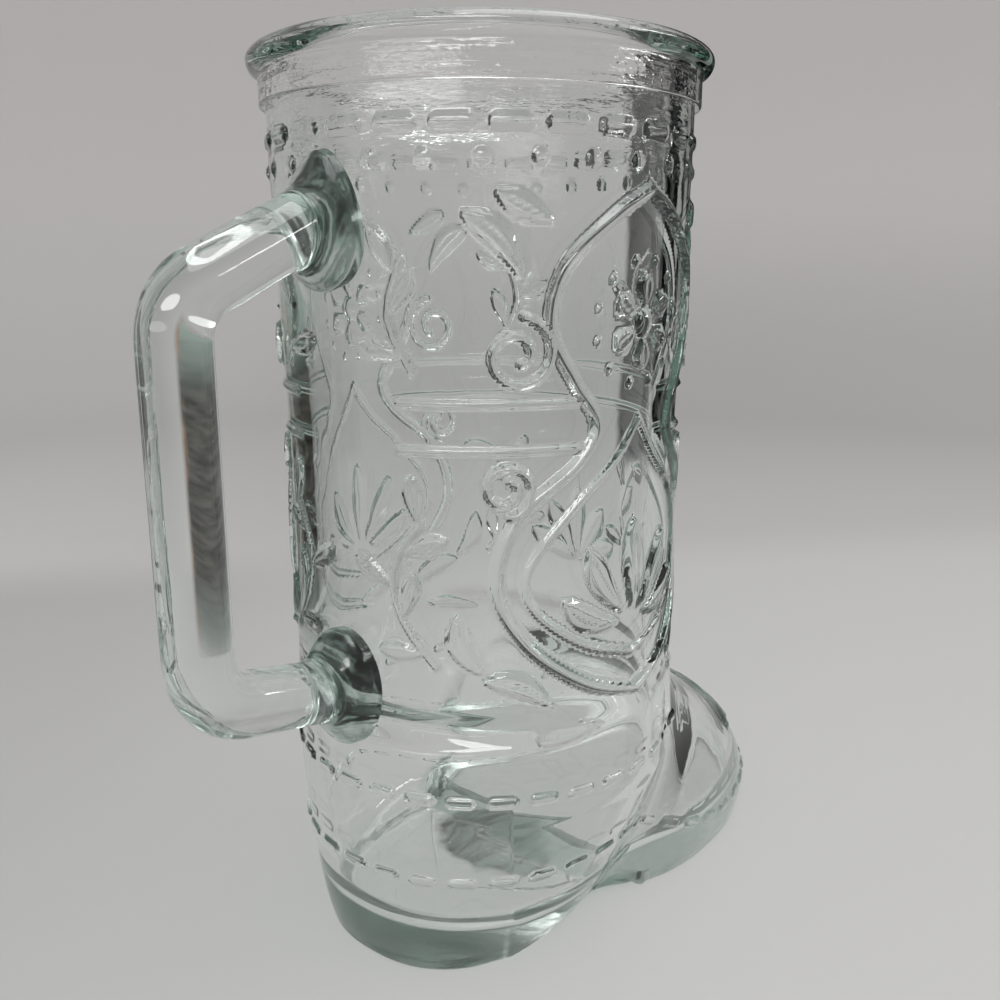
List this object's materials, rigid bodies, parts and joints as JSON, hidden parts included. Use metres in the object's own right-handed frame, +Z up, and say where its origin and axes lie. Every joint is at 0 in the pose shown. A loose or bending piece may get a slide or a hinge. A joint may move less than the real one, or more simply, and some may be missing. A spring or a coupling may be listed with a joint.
{
  "type": "boot mug",
  "caption": "Clear pressed glass beer mug shaped like a western boot, with a loop handle at the back, a beaded rim and raised stitching and scrollwork.",
  "frame": {"origin": "on the axis of the leg, on the surface that the boot stands on", "axes": "+Z up along the leg, +X towards the toe, the handle at -X, +Y to the boot's left side"},
  "size_m": [0.1524, 0.0808, 0.161],
  "materials": {
    "wall_glass": "clear pressed glass, fire polished",
    "thick_glass": "thick clear glass with a grey-green cast",
    "relief_glass": "raised pressed glass with soft edges"
  },
  "bodies": {
    "root": {"rim_bead": "wall_glass", "rim_band": "wall_glass", "leg": "wall_glass", "foot": "wall_glass", "heel": "thick_glass", "shank": "thick_glass", "fore_sole": "thick_glass", "grip": "thick_glass", "upper_arm": "thick_glass", "lower_arm": "thick_glass", "upper_pad": "thick_glass", "lower_pad": "thick_glass", "rim_stitches": "relief_glass", "rim_dots": "relief_glass", "vamp_stitches": "relief_glass", "welt_stitches": "relief_glass", "toe_cap_line": "relief_glass", "toe_bars": "relief_glass", "right_flame": "relief_glass", "left_flame": "relief_glass", "right_inner_flame": "relief_glass", "left_inner_flame": "relief_glass", "right_curls": "relief_glass", "left_curls": "relief_glass", "right_rosette": "relief_glass", "left_rosette": "relief_glass", "right_leaves": "relief_glass", "left_leaves": "relief_glass", "right_branches": "relief_glass", "left_branches": "relief_glass", "front_leaves": "relief_glass", "right_strap": "relief_glass", "left_strap": "relief_glass"}
  },
  "joints": []
}
